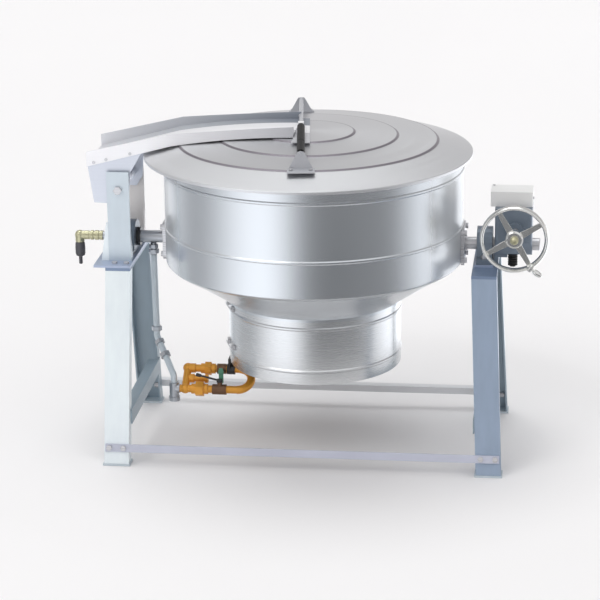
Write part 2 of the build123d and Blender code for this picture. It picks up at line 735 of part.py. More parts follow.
def make_top_plates():
    plates = []
    top = top_plate_z + top_plate_t
    for x in (left_leg_x, right_leg_x):
        plate = box(x - leg_w / 2, x + leg_w / 2, -leg_top_y, leg_top_y, top_plate_z, top)
        plates.append(plate)
    return pieces(*plates)


def leg_face_y(z):
    """Distance of a leg's outer face from the middle plane at this height."""
    return foot_y - (foot_y - leg_top_y) * (z - foot_plate_t) / (top_plate_z - foot_plate_t)


def leg_shift(z):
    """How far the right frame's splay has come in at this height."""
    return right_leg_splay * (top_plate_z - z) / (top_plate_z - foot_plate_t)


def make_stretchers():
    """Angle between the two legs of each side frame."""
    reach = leg_face_y(stretcher_z) - leg_depth / 2
    stretchers = []
    for x, inward in ((left_leg_x, 1), (right_leg_x + leg_shift(stretcher_z), -1)):
        inner = x + inward * (leg_w / 2 + stretcher_wall + 0.4)
        skin = inner - inward * stretcher_wall
        shelf = inner - inward * (leg_w / 2 - 4)
        wall = box(min(inner, skin), max(inner, skin), -reach, reach, stretcher_z - stretcher_h, stretcher_z)
        inside = leg_face_y(stretcher_z) - leg_depth - 6
        near, far = min(skin, shelf), max(skin, shelf)
        top = box(near, far, -inside, inside, stretcher_z - stretcher_wall, stretcher_z)
        stretchers.append(wall + top)
    return pieces(*stretchers)


def crossbar(z, side):
    """Flat bar across both frames, lying on the legs' sloping outer faces."""
    x0 = left_leg_x - leg_w / 2 + 4
    x1 = right_leg_x + leg_shift(z) + leg_w / 2 - 4
    face = leg_face_y(z)
    place = Pos(xk((x0 + x1) / 2), side * face, z) * Rot(side * degrees(lean), 0, 0)
    bar = place * Pos(0, side * (bar_t / 2 + fit), 0) * Box(x1 - x0, bar_t, bar_h)
    holes = []
    for x in crossbar_bolt_x(z):
        holes.append(bolt_axis(x, z, side) * Cylinder(frame_bolt_r + seat, 40))
    for hole in holes:
        bar -= hole
    return bar


def crossbar_bolt_x(z):
    left = left_leg_x
    right = right_leg_x + leg_shift(z)
    return (left - frame_bolt_x, left + frame_bolt_x, right - frame_bolt_x, right + frame_bolt_x)


def make_rear_crossbar():
    """Rear angle: the flat bar with a shelf turned back along its top."""
    bar = crossbar(rear_bar_z, 1)
    x0 = left_leg_x - leg_w / 2 + 4
    x1 = right_leg_x + leg_shift(rear_bar_z) + leg_w / 2 - 4
    y0 = leg_face_y(rear_bar_z + bar_h / 2) + 2
    shelf = box(x0, x1, y0, y0 + 28, rear_bar_z + bar_h / 2 - 4, rear_bar_z + bar_h / 2)
    return bar + shelf


def bolt_axis(x, z, side):
    """Place of a crossbar bolt on the leg's sloping face, with Z pointing out of the frame."""
    drop = 0 if side < 0 else -rear_bolt_drop
    face = Pos(xk(x), side * leg_face_y(z), z) * Rot(side * degrees(lean), 0, 0)
    return face * Pos(0, 0, drop) * Rot(-side * 90, 0, 0)


def make_crossbar_bolts():
    """Bolts with their nuts, through the crossbars and the legs' webs."""
    bolts = []
    for z, side in ((front_bar_z, -1), (rear_bar_z, 1)):
        for x in crossbar_bolt_x(z):
            place = bolt_axis(x, z, side)
            head = Pos(0, 0, bar_t + 2 * fit) * hexagon(frame_bolt_head, 6)
            shank = Pos(0, 0, -leg_wall - 8) * extrude(Circle(frame_bolt_r), leg_wall + 8 + bar_t + 0.2)
            nut = Pos(0, 0, -leg_wall - 8.5) * hexagon(frame_bolt_head, 8)
            bolts.append(place * (head + shank + nut))
    return pieces(*bolts)


def bolt_holes_in_leg(shape, z, side):
    for x in crossbar_bolt_x(z):
        shape -= bolt_axis(x, z, side) * Cylinder(frame_bolt_r + seat, 40)
    return shape


def make_leg(frame_side, side):
    if frame_side < 0:
        channel = leg(left_leg_x, left_leg_x, side)
    else:
        channel = leg(right_leg_x, right_leg_x + right_leg_splay, side)
    return bolt_holes_in_leg(channel, front_bar_z if side < 0 else rear_bar_z, side)


# ---------------------------------------------------------------- lid posts and bearings
def make_post_base():
    bottom = top_plate_z + top_plate_t
    return box(post_plate_left, post_plate_right, -leg_top_y, leg_top_y, bottom, post_base_z)


def make_right_shim():
    """Plate that lifts the right bearing to the height of the left one."""
    return box(right_bearing_x - 29, right_bearing_x + 29, -pillow_half - 4, pillow_half + 4,
               top_plate_z + top_plate_t, post_base_z)


def lid_post(side):
    """Folded post: face plate with two flanges that taper upwards."""
    x0 = post_x - post_w / 2
    x1 = post_x + post_w / 2
    outer = post_face_y
    skin = outer - post_wall
    face = side_plate([(x0, post_base_z), (x1, post_base_z), (x1, post_top_z), (x0, post_top_z)],
                      skin, outer, holes=((post_x, pivot_z, pivot_r + seat),))
    flange = [(outer, post_base_z), (outer - post_flange_foot, post_base_z),
              (outer - post_flange_top, post_taper_z), (outer - post_flange_top, post_top_z),
              (outer, post_top_z)]
    post = face + cross_plate(flange, x0, x0 + post_wall) + cross_plate(flange, x1 - post_wall, x1)
    return post if side > 0 else mirrored(post)


def make_lid_posts():
    return pieces(lid_post(-1), lid_post(1))


def make_post_gussets():
    """Triangular stays on the posts' outer sides."""
    x1 = post_x - post_w / 2 - 0.05
    foot = post_plate_left + 16
    outline = [(foot, post_base_z), (x1, post_base_z), (x1, post_base_z + 126), (x1 - 6, post_base_z + 126)]
    stay = side_plate(outline, post_face_y - post_wall, post_face_y)
    return pieces(stay, mirrored(stay))


def pillow_block(x):
    """Cast pillow block: feet, waist and round head in one outline, bored for its bush."""
    low = post_base_z
    neck = pillow_neck
    outline = [(-pillow_half, low), (pillow_half, low), (pillow_half, low + pillow_foot),
               (pillow_r + neck, low + pillow_foot)]
    steps = 10
    for i in range(steps + 1):
        angle = pi * i / steps
        outline.append((pillow_r * cos(angle), trunnion_z + pillow_r * sin(angle)))
    outline += [(-pillow_r - neck, low + pillow_foot), (-pillow_half, low + pillow_foot)]
    block = cross_plate(outline, x - bearing_len / 2, x + bearing_len / 2)
    block -= rod_x(x - 40, x + bearing_len / 2 - bearing_lip, bush_r + fit)
    block -= rod_x(x, x + 40, shaft_r + gap)
    for y in (-pillow_half + 18, pillow_half - 18):
        block -= rod_z(low - 1, low + pillow_foot + 1, frame_bolt_r + 1 + seat, x, y)
    return block


def make_bearing_bushes():
    bushes = []
    for x in (left_bearing_x, right_bearing_x):
        half = bearing_len / 2
        end = x + half - bearing_lip - seat
        bush = lathe_x([(x - half, shaft_r + fit), (x - half, bush_r), (end, bush_r),
                        (end, shaft_r + fit)], z=trunnion_z)
        bushes.append(bush)
    return pieces(*bushes)


def make_shaft_collar():
    """Dark thrust collar on the left journal, outside the bearing."""
    x = left_bearing_x + bearing_len / 2 + 1
    return lathe_x([(x, shaft_r + fit), (x, collar_r), (x + collar_len, collar_r),
                    (x + collar_len, shaft_r + fit)], z=trunnion_z)


def make_mounting_bolts():
    """Bolts with nuts through the bearing feet, and through the post base and top plates."""
    bolts = []
    below = top_plate_z
    for x in (left_bearing_x, right_bearing_x):
        for y in (-pillow_half + 18, pillow_half - 18):
            top = post_base_z + pillow_foot
            r = frame_bolt_r + 1
            bolt = rod_z(below - 12, top + 12, r, x, y)
            bolt += Pos(xk(x), y, top + fit) * hexagon(19, 9)
            bolt += Pos(xk(x), y, below - 9 - fit) * hexagon(19, 9)
            bolts.append(bolt)
    for x in (left_leg_x - 14, left_leg_x + 24):
        for y in (-leg_top_y + 26, leg_top_y - 26):
            r = frame_bolt_r
            bolt = rod_z(below - 10, post_base_z + 4, r, x, y)
            bolt += Pos(xk(x), y, post_base_z + fit) * hexagon(16, 6)
            bolt += Pos(xk(x), y, below - 8 - fit) * hexagon(16, 8)
            bolts.append(bolt)
    return pieces(*bolts)


def drill_mounting_holes(shape):
    for x in (left_bearing_x, right_bearing_x):
        for y in (-pillow_half + 18, pillow_half - 18):
            shape -= rod_z(top_plate_z - 5, post_base_z + 1, frame_bolt_r + 1 + seat, x, y)
    for x in (left_leg_x - 14, left_leg_x + 24):
        for y in (-leg_top_y + 26, leg_top_y - 26):
            shape -= rod_z(top_plate_z - 5, post_base_z + 1, frame_bolt_r + seat, x, y)
    return shape


def make_pivot_bolt():
    """Through bolt that carries the lid arm between the posts."""
    reach = post_face_y
    bolt = rod_y(-reach - 1, reach + 12, pivot_r, post_x, pivot_z)
    head = Pos(xk(post_x), -reach - 0.1, pivot_z) * Rot(90, 0, 0) * hexagon(24, 10)
    nut = Pos(xk(post_x), reach + 0.1, pivot_z) * Rot(-90, 0, 0) * hexagon(24, 12)
    return bolt + head + nut


# ---------------------------------------------------------------- rotary union
def make_union_body():
    """Brass rotary union: stepped body, gland nut and grease ring on the trunnion's nipple."""
    high = nipple_r + 4
    low = nipple_r + 1
    steps = [(0, nipple_r + fit), (0, high - 0.5), (10, high - 0.5), (10, low), (14, low), (14, high),
             (26, high), (26, low), (32, low), (32, high), (40, high), (40, low), (46, low), (46, high - 1.5),
             (union_len, high - 1.5), (union_len, spigot_r), (26, spigot_r), (26, nipple_r + fit)]
    return lathe_x([(-union_right - x, r) for x, r in steps], z=trunnion_z)


def make_union_elbow():
    """Brass elbow turning the inlet down."""
    start = -union_right - union_len - 0.05
    across = rod_x(start, elbow_x, 14)
    knee = ball(elbow_x, 0, trunnion_z, 16, 90)
    down = rod_z(trunnion_z - 22, trunnion_z, 15, elbow_x, 0)
    hollow = rod_z(trunnion_z - 23, trunnion_z, spigot_r, elbow_x, 0) + rod_x(start + 1, elbow_x, spigot_r)
    return across + knee + down - hollow


def make_hose_tail():
    """Ribbed hose ferrule and plain inlet spigot under the elbow."""
    top = trunnion_z - 22.05
    bore = 3.5
    points = [(bore, top), (12.5, top), (15.5, top - 5), (16.5, top - 22), (16, top - 40), (14, top - 47),
              (9.5, top - 49), (spigot_r, top - 52), (spigot_r, top - 74), (spigot_r - 1, top - 76),
              (bore, top - 76)]
    return lathe(points, elbow_x, 0)


# ---------------------------------------------------------------- lid
def lid_surface(r):
    """Height of the lid's top at this radius."""
    rings = [(lid_r, lid_edge_z, lid_edge_z)] + list(lid_rings) + [(0.0, lid_centre_z, lid_centre_z)]
    for (r0, _, z0), (r1, z1, _) in zip(rings, rings[1:]):
        if r1 <= r <= r0:
            return z0 + (z1 - z0) * (r0 - r) / (r0 - r1)
    return lid_centre_z


def make_lid_panel():
    """Spun lid: shallow cones joggled up at each ring, with a hem turned down at the edge."""
    joggle = joggle_high
    top = [(lid_r, lid_edge_z - 9), (lid_r, lid_edge_z - 2), (lid_r - 2, lid_edge_z)]
    for r, low, high in lid_rings:
        top += [(r, low), (r - joggle, high)]
    top.append((0, lid_centre_z))
    under = [(0, lid_centre_z - lid_wall)]
    for r, low, high in reversed(lid_rings):
        under += [(r - joggle - lid_wall / 2, high - lid_wall), (r - lid_wall / 2, low - lid_wall)]
    under += [(lid_r - 3, lid_edge_z - lid_wall), (lid_r - lid_wall, lid_edge_z - 4),
              (lid_r - lid_wall, lid_edge_z - 9)]
    panel = lathe(top + under, lid_x)
    for x, y, _ in foot_screws():
        panel -= on_lid(Pos(x, y, lid_edge_z) * Cylinder(3.2, 100))
    return panel


def make_seat_ring():
    """Ring under the lid that stands on the kettle's rim and centres it."""
    top_z = lid_surface(seat_ring_r) - lid_wall - seat - 0.8
    slope = (lid_rings[0][1] - lid_edge_z) / (lid_r - lid_rings[0][0])
    inner = seat_ring_r - 3
    flange = seat_ring_r - 16
    return lathe([(seat_ring_r, rim_z), (seat_ring_r, top_z), (inner, top_z + 3 * slope),
                  (inner, rim_z + 3), (flange, rim_z + 3), (flange, rim_z)], lid_x)


def on_lid(shape):
    """Turn a piece of the bail with the lid, and set it beside the lid's centre."""
    return Pos(xk(lid_x), 0, 0) * Rot(0, 0, lid_turn) * Pos(bail_shift, 0, 0) * shape


def bail_feet():
    """Place, side and depth of the two brackets' feet, with their height and slope."""
    slope = degrees(atan2(lid_rings[1][1] - lid_rings[0][2], lid_rings[0][0] - lid_rings[1][0]))
    return [(-1, bail_near, near_foot, lid_surface(bail_near) + 0.6, slope),
            (1, bail_far, far_foot, lid_surface(bail_far) + 0.6, slope)]


def foot_screws():
    """Places of the bracket's screws, with the height of the foot's top there."""
    places = []
    for side, y, _, base, slope in bail_feet():
        for x in (-foot_screw_x, foot_screw_x):
            z = base + 3 - foot_screw_y * sin(radians(slope)) + 1
            places.append((x, side * (y + foot_screw_y), z))
    return places


def make_bail_brackets():
    """Two triangular cheeks with rounded tops, each with a foot screwed to the lid."""
    brackets = []
    for side, y, depth, base, slope in bail_feet():
        top = bail_z + cheek_top
        outline = make_face(Plane.XZ * Polyline((-cheek_half, base), (cheek_half, base), (13, top - 5),
                                                (9, top), (-9, top), (-13, top - 5), close=True))
        cheek = Pos(0, side * y - cheek_t / 2, 0) * extrude(outline, cheek_t, dir=(0, 1, 0))
        cheek -= Pos(0, side * y, bail_z) * Rot(90, 0, 0) * Cylinder(bar_end_r + fit, 10)
        foot = Pos(0, side * y, base) * Rot(-side * slope, 0, 0) * Pos(0, side * depth / 2, 1.5)
        foot = foot * Box(2 * foot_half, depth, 3)
        bracket = cheek + foot
        for x, screw_y, _ in foot_screws():
            bracket -= Pos(x, screw_y, base) * Cylinder(3.2, 30)
        brackets.append(on_lid(bracket))
    return pieces(*brackets)


def make_bail_bar():
    """Bar between both brackets, its turned-down ends standing out through the cheeks."""
    ends = [(-bail_near - cheek_t / 2 - 3, 0), (-bail_near - cheek_t / 2 - 3, bar_end_r - 1),
            (-bail_near - cheek_t / 2 - 2, bar_end_r), (-bail_near + cheek_t / 2 + seat, bar_end_r),
            (-bail_near + cheek_t / 2 + seat, bail_r), (bail_far - cheek_t / 2 - seat, bail_r),
            (bail_far - cheek_t / 2 - seat, bar_end_r), (bail_far + cheek_t / 2 + 2, bar_end_r),
            (bail_far + cheek_t / 2 + 3, bar_end_r - 1), (bail_far + cheek_t / 2 + 3, 0)]
    outline = make_face(Plane.XY * Polyline(*[(r, y) for y, r in ends], close=True))
    return on_lid(Pos(0, 0, bail_z) * revolve(outline, Axis.Y, 360))


def make_bail_grip():
    """Black moulded grip over the front half of the bar, with a groove near its middle."""
    groove = -grip_near + 120
    outline = [(bail_r + fit, -grip_near), (grip_r - 2, -grip_near), (grip_r, -grip_near + 3),
               (grip_r, groove), (grip_r - 0.8, groove + 4), (grip_r - 0.8, groove + 12), (grip_r, groove + 16),
               (grip_r, -grip_far - 8), (grip_r - 3, -grip_far), (bail_r + fit, -grip_far)]
    face = make_face(Plane.XY * Polyline(*outline, close=True))
    return on_lid(Pos(0, 0, bail_z) * revolve(face, Axis.Y, 360))


def make_bail_screws():
    """Screws of the two brackets."""
    screws = []
    for x, y, z in foot_screws():
        head = Pos(x, y, z) * hexagon(11, 4) + Pos(x, y, z - 8) * extrude(Circle(3), 9)
        screws.append(on_lid(head))
    return pieces(*screws)


# ---------------------------------------------------------------- lid arm
def arm_edge(heights, end_slope, lift=0.0):
    """Lower or upper edge of the arm: straight to the bend, then an arc that levels to its end slope."""
    left, bend, right = heights
    a = Vector(xk(arm_left), 0, left + lift)
    b = Vector(xk(arm_bend_x), 0, bend + lift)
    c = Vector(xk(arm_right), 0, right + lift)
    back = Vector(-cos(radians(end_slope)), 0, -sin(radians(end_slope)))
    return Line(a, b), TangentArc(c, b, tangent=back)


def arm_band(low, high):
    """Solid between two edges of the arm, across its whole width."""
    bottom = arm_edge(*low)
    top = arm_edge(*high)
    right = Line(bottom[1] @ 0, top[1] @ 0)
    left = Line(top[0] @ 0, bottom[0] @ 0)
    face = make_face([*bottom, right, *top, left])
    return Pos(0, -arm_wall_y, 0) * extrude(face, amount=2 * arm_wall_y, dir=(0, 1, 0))


def arm_plan(inset):
    """Prism with the arm's outline from above, this far inside its walls' outer faces."""
    wide = arm_wall_y - inset
    narrow = arm_end_y - inset
    outline = Polyline((xk(arm_left), -wide), (xk(arm_bend_x), -wide), (xk(arm_right), -narrow),
                       (xk(arm_right), narrow), (xk(arm_bend_x), wide), (xk(arm_left), wide), close=True)
    height = arm_high[2] - arm_low[0] + 20
    return Pos(0, 0, arm_low[0] - 10) * extrude(make_face(outline), height, dir=(0, 0, 1))


def make_lid_arm():
    """Arched channel whose walls close in to the right, with its web a little above their lower edges."""
    arm = arm_band((arm_low, arm_low_slope), (arm_high, arm_high_slope)) & arm_plan(0)
    above = arm_band((arm_low, arm_low_slope, web_lift + web_t), (arm_high, arm_high_slope, 2.0))
    below = arm_band((arm_low, arm_low_slope, -2.0), (arm_low, arm_low_slope, web_lift))
    bar = Pos(0, 0, bail_z) * Rot(90, 0, 0) * Cylinder(bail_r + 1.5, 2 * bail_far)
    return arm - (above & arm_plan(arm_wall)) - (below & arm_plan(arm_wall)) - on_lid(bar)


def arm_bracket(side):
    """Hanging plate between the arm's wall and the pivot."""
    lift = web_lift - seat
    slope = (arm_low[1] - arm_low[0]) / (arm_bend_x - arm_left)
    right = post_x + 77.5
    edge = arm_low[0] + slope * (right - arm_left)
    outline = [(arm_left + 2, arm_low[0] + lift), (post_x - 80.5, pivot_z - 45),
               (post_x + 13.5, pivot_z - 49), (post_x + 33.5, pivot_z - 17), (post_x + 39.5, pivot_z + 55),
               (right, edge), (right, edge + lift)]
    plate = side_plate(outline, hanger_y - seat - hanger_t, hanger_y - seat)
    return plate if side > 0 else mirrored(plate)


def make_arm_hanger():
    """Two hanging plates welded to the tube that turns on the pivot bolt."""
    reach = hanger_y + 2
    hanger = arm_bracket(-1) + arm_bracket(1) + rod_y(-reach, reach, pivot_tube_r, post_x, pivot_z)
    return hanger - rod_y(-reach - 1, reach + 1, pivot_r + fit, post_x, pivot_z)


def make_lid_tongue():
    """Cross plate under the bar, welded under the arm's web, with a clip round the bar."""
    low = lid_centre_z + 1.0
    web = arm_low[2] + web_lift - seat
    edge = arm_right + 0.5
    turn = radians(lid_turn)
    near = (lid_x + bail_shift + tongue_half + tongue_near * sin(turn), -tongue_near)
    far = (lid_x + bail_shift + tongue_half - tongue_far * sin(turn), tongue_far)
    plan = Polyline((xk(edge), near[1]), (xk(near[0]), near[1]), (xk(far[0]), far[1]), (xk(edge), far[1]),
                    close=True)
    flat = Pos(0, 0, low) * extrude(make_face(plan), tongue_t, dir=(0, 0, 1))
    flat += box(arm_right - tongue_t, edge + 1, -tongue_root, tongue_root, low, low + tongue_t)
    under = web - web_sag
    back = box(arm_right - 60, arm_right - tongue_t, -tongue_root, tongue_root, under - tongue_t, under)
    lip = box(arm_right - tongue_t - 1, arm_right - 0.5, -tongue_root, tongue_root, low, under)
    tongue = flat + back + lip
    height = bail_z + bail_r + 2.5 - low
    clip = Pos(0, clip_y, low + height / 2) * Box(2 * bail_r + 5, clip_w, height)
    clip -= Pos(0, clip_y, bail_z) * Rot(90, 0, 0) * Cylinder(bail_r + fit, 2 * clip_w)
    return tongue + on_lid(clip)


def make_arm_screws():
    """Screws that fix the hanging plates to the arm's walls."""
    screws = []
    for side in (-1, 1):
        for x in (post_x - 76.5, post_x - 36.5, post_x + 41.5):
            z = arm_low[0] + (arm_low[1] - arm_low[0]) * (x - arm_left) / (arm_bend_x - arm_left) + 4
            screws.append(rod_y(side * (arm_wall_y + 0.02), side * (arm_wall_y + 1.7), 5, x, z + 4))
    return pieces(*screws)


# ---------------------------------------------------------------- tilting gear
def gearbox_profile(inset, top):
    """Outline of the housing seen along the trunnions, narrowing down to its foot."""
    low = gearbox_bottom + inset
    foot = gearbox_waist_y - inset * 1.25
    wide = gearbox_y - inset
    return [(-foot, low), (foot, low), (wide, gearbox_waist_z), (wide, top), (-wide, top),
            (-wide, gearbox_waist_z)]


def make_gearbox_housing():
    """Cast housing, open at the top under its cover, with bosses for both shafts and a foot."""
    outer = cross_plate(gearbox_profile(0, gearbox_top), gearbox_left, gearbox_right)
    outer = fillet(outer.edges().filter_by(Axis.Z), 10)
    w = gearbox_wall
    foot_left = right_bearing_x + 31
    reach = gearbox_foot_y
    foot_right = right_leg_x + leg_w / 2
    foot = box(foot_left, foot_right, -reach, reach, top_plate_z + top_plate_t, gearbox_bottom + 2)
    shelf = box(foot_left, gearbox_left + 40, -reach, reach, gearbox_bottom - 12, gearbox_bottom + 2)
    body = outer + foot + shelf + rod_x(gearbox_left, gearbox_right, wheel_hub_r + 1 + w)
    body += rod_y(-gearbox_y - 14, -gearbox_y + 1, 26, wheel_x, worm_z)
    body -= cross_plate(gearbox_profile(w, gearbox_top + 1), wheel_x - 30, wheel_x + 30)
    body -= rod_x(wheel_x - 30, wheel_x + 30, wheel_hub_r + 1)
    body -= rod_x(foot_left - 1, gearbox_right + 1, shaft_r + gap)
    body -= rod_y(-gearbox_y - 14 + bearing_lip, gearbox_y - w + 3, worm_shaft_r + 5 + fit, wheel_x, worm_z)
    body -= rod_y(-gearbox_y - 20, 0, worm_shaft_r + gap, wheel_x, worm_z)
    return body


def make_worm_bushes():
    bushes = []
    inner = gearbox_y - gearbox_wall
    for y0, y1 in ((-gearbox_y - 14 + bearing_lip + seat, -gearbox_y + 10), (inner - 14, inner + 3)):
        bushes.append(rod_y(y0, y1, worm_shaft_r + 5, wheel_x, worm_z)
                      - rod_y(y0 - 1, y1 + 1, worm_shaft_r + fit, wheel_x, worm_z))
    return pieces(*bushes)


def make_gear_guard():
    """Folded sheet cover over the gearbox."""
    low = gearbox_top + 0.05
    outer = box(guard_left, gearbox_right, -guard_y, guard_y, low, low + guard_h)
    outer = fillet(outer.edges().filter_by(Axis.Z), 3)
    w = guard_wall
    inside = guard_y - w
    return outer - box(guard_left + w, gearbox_right - w, -inside, inside, low - 1, low + guard_h - w)


def make_guard_screws():
    """Screw on the guard's top and the stud at its right side."""
    screws = []
    top = gearbox_top + guard_h + 0.1
    screws.append(rod_z(top, top + 2.5, 4, guard_left + 8, guard_y - 8))
    screws.append(rod_x(gearbox_right + 0.05, gearbox_right + 4, 4, -20, gearbox_top + 24))
    return pieces(*screws)


def make_boot():
    """Ribbed rubber bellows under the gearbox."""
    top = trunnion_z - wheel_hub_r - 1 - gearbox_wall - 0.05
    points = [(0.0, top)]
    for i in range(boot_ribs):
        z = top - i * boot_pitch
        points += [(boot_r, z), (boot_r, z - boot_pitch * 0.45), (boot_neck_r, z - boot_pitch * 0.6),
                   (boot_neck_r, z - boot_pitch * 0.85)]
    points += [(boot_neck_r, top - boot_ribs * boot_pitch), (0.0, top - boot_ribs * boot_pitch)]
    return lathe(points, boot_x, 0)


def make_worm_shaft():
    """Handwheel shaft with the worm turned on it."""
    y_in = gearbox_y - gearbox_wall + 2
    y_out = handwheel_y - rim_half_d - 6
    shaft = rod_y(y_out, y_in, worm_shaft_r, wheel_x, worm_z)
    worm_r = worm_pitch_r + gear_module
    pitch = gear_module * pi
    points = [(-38.0, worm_shaft_r - 1), (-38.0, worm_pitch_r - gear_module)]
    turns = 6
    for i in range(turns):
        y = -33.0 + i * pitch
        points += [(y, worm_pitch_r - gear_module), (y + pitch * 0.25, worm_r), (y + pitch * 0.5, worm_r),
                   (y + pitch * 0.75, worm_pitch_r - gear_module)]
    points += [(38.0, worm_pitch_r - gear_module), (38.0, worm_shaft_r - 1)]
    return shaft + lathe_y(points, wheel_x, worm_z)


def make_handwheel():
    """Dished rim on four tapered spokes and a stepped hub."""
    rim_mid = handwheel_r - rim_half_w
    steps = 16
    rim = []
    for i in range(steps):
        angle = 2 * pi * i / steps
        rim.append((handwheel_y + rim_half_d * sin(angle), rim_mid + rim_half_w * cos(angle)))
    wheel = lathe_y(rim, wheel_x, worm_z)
    y0 = handwheel_y - rim_half_d + 2
    y1 = handwheel_y + 30
    hub = [(y0, worm_shaft_r + fit), (y0, hub_r - 5), (y0 + 4, hub_r), (y0 + 14, hub_r), (y0 + 20, hub_r - 6),
           (y1, hub_r - 6), (y1, worm_shaft_r + fit)]
    wheel += lathe_y(hub, wheel_x, worm_z)
    for i in range(spoke_count):
        angle = spoke_start + 360 / spoke_count * i
        spoke = make_face(Plane.XZ * Polyline((hub_r - 8, -11), (rim_mid - 2, -7), (rim_mid - 2, 7),
                                              (hub_r - 8, 11), close=True))
        blade = extrude(spoke, 6, dir=(0, -1, 0))
        wheel += Pos(xk(wheel_x), handwheel_y + 5, worm_z) * Rot(0, -angle, 0) * blade
    for side in (-1, 1):
        ear = Cylinder(crank_eye_r, 5) + Pos(0, crank_eye_r, 0) * Box(2 * crank_eye_r, 2 * crank_eye_r + 6, 5)
        wheel += crank_place() * Pos(0, 0, side * (crank_eye_half + 2.8)) * ear
    return wheel - crank_place() * Cylinder(crank_eye_r + 1, 2 * crank_eye_half + 0.6)


def crank_place():
    """Hinge of the folding crank: X along the handle, Z along the hinge pin."""
    a = radians(crank_angle)
    reach = handwheel_r - rim_half_w
    front = handwheel_y - rim_half_d - crank_eye_r - 1.5
    place = Pos(xk(wheel_x) + reach * cos(a), front, worm_z + reach * sin(a))
    return place * Rot(0, -crank_lie, 0)


def make_crank_handle():
    """Folding handle: eye with its pin, neck, and a waisted grip turned about its own length."""
    start = crank_eye_r - 2
    outline = make_face(Plane.XZ * Polyline((start, 0), (start, 3.8), (12, 4.5), (15, 7.5), (22, 9.3),
                                            (31, 9.3), (38, 8), (42.5, 5.5), (44, 0), close=True))
    grip = revolve(outline, Axis.X, 360)
    return crank_place() * (grip + Cylinder(crank_eye_r, 2 * crank_eye_half))


def make_wheel_nut():
    """Brass dome nut on the end of the shaft."""
    y = handwheel_y - rim_half_d + 2
    points = [(y - 0.05, worm_shaft_r + fit), (y - 0.05, 13), (y - 9, 13), (y - 12, 11), (y - 16, 6),
              (y - 17, 0), (y - 8.4, 0), (y - 8.4, worm_shaft_r + fit)]
    return lathe_y(points, wheel_x, worm_z)


# ---------------------------------------------------------------- all nodes
def build():
    nodes = {
        "inner_pan": make_inner_pan(),
        "steam_jacket": make_steam_jacket(),
        "outer_casing": make_outer_casing(),
        "burner_skirt": make_burner_skirt(),
        "skirt_front_panel": make_front_panel(),
        "skirt_latches": make_latches(),
        "burner_ring": make_burner_ring(),
        "trunnion_saddles": pieces(make_saddle(-1), make_saddle(1)),
        "left_trunnion": make_left_trunnion(),
        "right_trunnion": make_right_trunnion(),
        "trunnion_bolts": make_trunnion_bolts(),
        "worm_wheel": make_worm_wheel(),
        "shaft_collar": make_shaft_collar(),
        "supply_pipe": make_supply_pipe(),
        "pipe_fittings": make_supply_fittings(),
        "gas_header": make_gas_header(),
        "gas_runs": pieces(*make_gas_runs(), *make_gas_unions()),
        "gas_return_bend": make_return_bend(),
        "gas_cocks": pieces(make_main_cock(), make_pilot_cock()),
        "main_cock_lever": make_main_lever(),
        "pilot_cock_lever": make_pilot_lever(),
        "train_bracket": make_train_bracket(),
        "left_front_leg": make_leg(-1, -1),
        "left_rear_leg": make_leg(-1, 1),
        "right_front_leg": make_leg(1, -1),
        "right_rear_leg": make_leg(1, 1),
        "foot_plates": make_foot_plates(),
        "top_plates": drill_mounting_holes(make_top_plates()),
        "leg_stretchers": make_stretchers(),
        "front_crossbar": crossbar(front_bar_z, -1),
        "rear_crossbar": make_rear_crossbar(),
        "bearing_plates": drill_mounting_holes(pieces(make_post_base(), make_right_shim())),
        "lid_posts": make_lid_posts(),
        "post_gussets": make_post_gussets(),
        "left_bearing_housing": pillow_block(left_bearing_x),
        "right_bearing_housing": pillow_block(right_bearing_x),
        "shaft_bushes": pieces(make_bearing_bushes(), make_worm_bushes()),
        "frame_bolts": pieces(make_crossbar_bolts(), make_mounting_bolts()),
        "pivot_bolt": make_pivot_bolt(),
        "union_body": make_union_body(),
        "union_elbow": make_union_elbow(),
        "hose_tail": make_hose_tail(),
        "gearbox_housing": make_gearbox_housing(),
        "gear_guard": make_gear_guard(),
        "guard_screws": make_guard_screws(),
        "gearbox_boot": make_boot(),
        "lid_panel": make_lid_panel(),
        "lid_seat_ring": make_seat_ring(),
        "bail_brackets": make_bail_brackets(),
        "bail_bar": make_bail_bar(),
        "bail_grip": make_bail_grip(),
        "bail_screws": make_bail_screws(),
        "lid_arm": make_lid_arm(),
        "arm_hanger": make_arm_hanger(),
        "arm_screws": make_arm_screws(),
        "lid_tongue": make_lid_tongue(),
        "worm_shaft": make_worm_shaft(),
        "handwheel": make_handwheel(),
        "wheel_nut": make_wheel_nut(),
        "crank_handle": make_crank_handle(),
    }
    return nodes


def main():
    os.makedirs("parts", exist_ok=True)
    for name, shape in build().items():
        export_step(shape, f"parts/{name}.step")


main()
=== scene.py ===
"""Looks of the steam jacketed tilting kettle: materials, light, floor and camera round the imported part."""
import math

import bpy
from mathutils import Matrix, Vector

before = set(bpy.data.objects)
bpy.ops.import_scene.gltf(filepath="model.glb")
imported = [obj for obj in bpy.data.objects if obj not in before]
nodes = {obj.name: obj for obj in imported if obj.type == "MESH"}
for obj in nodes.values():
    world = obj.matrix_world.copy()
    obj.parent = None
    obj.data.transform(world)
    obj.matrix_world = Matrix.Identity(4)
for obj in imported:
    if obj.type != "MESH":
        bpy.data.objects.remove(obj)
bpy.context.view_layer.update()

# Metres throughout.  The lights' angles run from the front (0) to the right (90), in degrees.
KX = 0.01575                       # kettle axis in X
LID_X = KX - 0.0165                # lid centre in X


